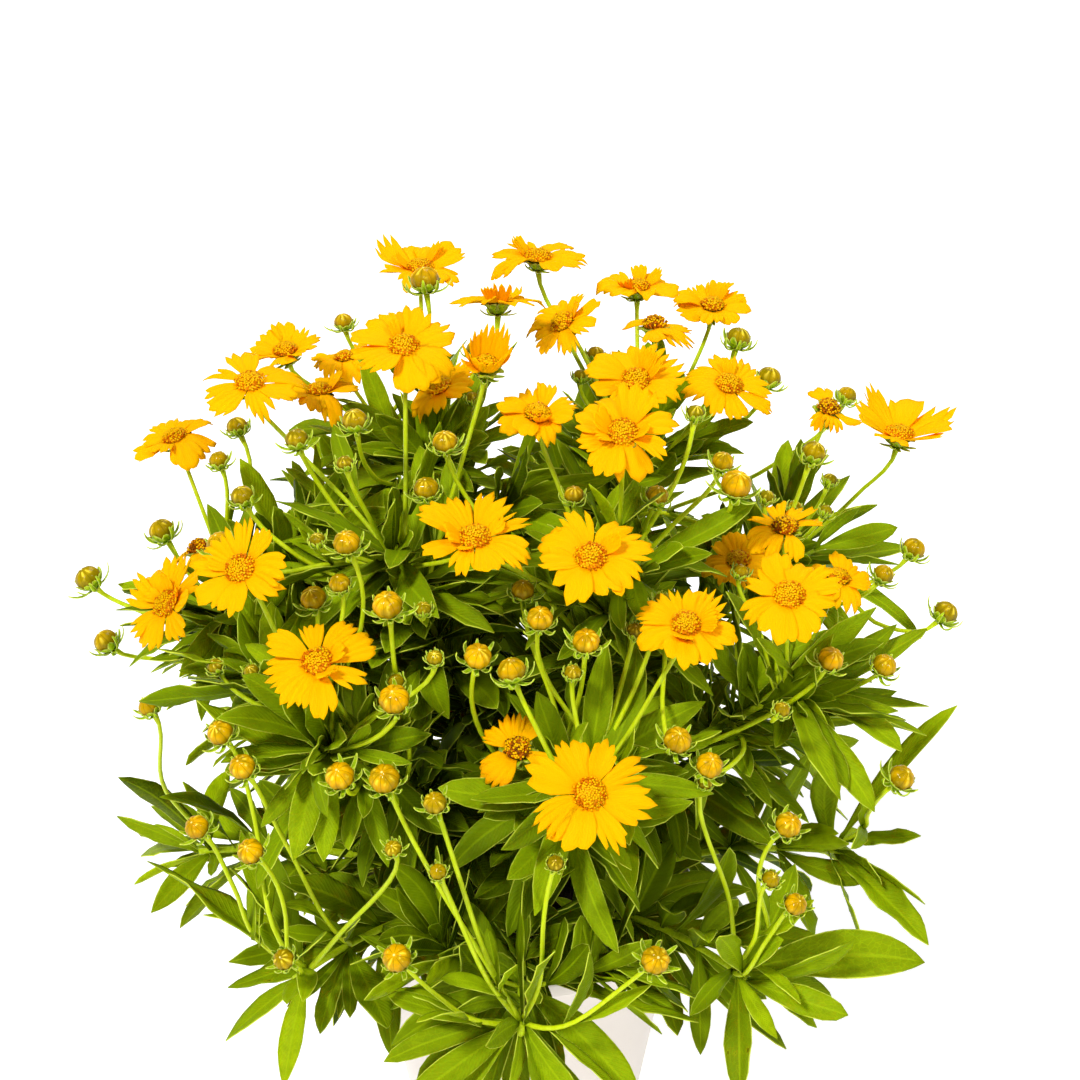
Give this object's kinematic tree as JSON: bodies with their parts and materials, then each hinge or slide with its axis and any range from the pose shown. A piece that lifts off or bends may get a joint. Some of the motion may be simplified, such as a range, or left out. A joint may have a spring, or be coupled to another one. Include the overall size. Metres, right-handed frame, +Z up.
{
  "type": "potted coreopsis",
  "caption": "Bushy tickseed plant in full bloom, golden daisy-like flowers on slender stalks above lance-shaped leaves, standing in a plain round plant pot.",
  "frame": {"origin": "centre of the pot's underside, which the part rests on", "axes": "+Z up along the pot's axis; -Y towards the front of the plant, where most blooms face"},
  "size_m": [0.396, 0.372, 0.4392],
  "materials": {
    "pot": "satin",
    "soil": "matte",
    "ray": "satin",
    "leaf": "satin"
  },
  "bodies": {
    "root": {"pot": "pot", "soil": "soil", "bloom_01": "ray", "bloom_02": "ray", "bloom_03": "ray", "bloom_04": "ray", "bloom_05": "ray", "bloom_06": "ray", "bloom_07": "ray", "bloom_08": "ray", "bloom_09": "ray", "bloom_10": "ray", "bloom_11": "ray", "bloom_12": "ray", "bloom_13": "ray", "bloom_14": "ray", "bloom_15": "ray", "bloom_16": "ray", "bloom_17": "ray", "bloom_18": "ray", "bloom_19": "ray", "bloom_20": "ray", "bloom_21": "ray", "bloom_22": "ray", "bloom_23": "ray", "bloom_24": "ray", "bloom_25": "ray", "bloom_26": "ray", "bloom_27": "ray", "bloom_28": "ray", "bloom_29": "ray", "bloom_30": "ray", "bloom_31": "ray", "bloom_32": "ray", "bloom_33": "ray", "bloom_34": "ray", "leafy_stem_01": "leaf", "leafy_stem_02": "leaf", "leafy_stem_03": "leaf", "leafy_stem_04": "leaf", "leafy_stem_05": "leaf", "leafy_stem_06": "leaf", "leafy_stem_07": "leaf", "leafy_stem_08": "leaf", "leafy_stem_09": "leaf", "leafy_stem_10": "leaf", "leafy_stem_11": "leaf", "leafy_stem_12": "leaf", "leafy_stem_13": "leaf", "leafy_stem_14": "leaf", "leafy_stem_15": "leaf", "leafy_stem_16": "leaf", "leafy_stem_17": "leaf", "leafy_stem_18": "leaf", "leafy_stem_19": "leaf", "leafy_stem_20": "leaf"}
  },
  "joints": []
}
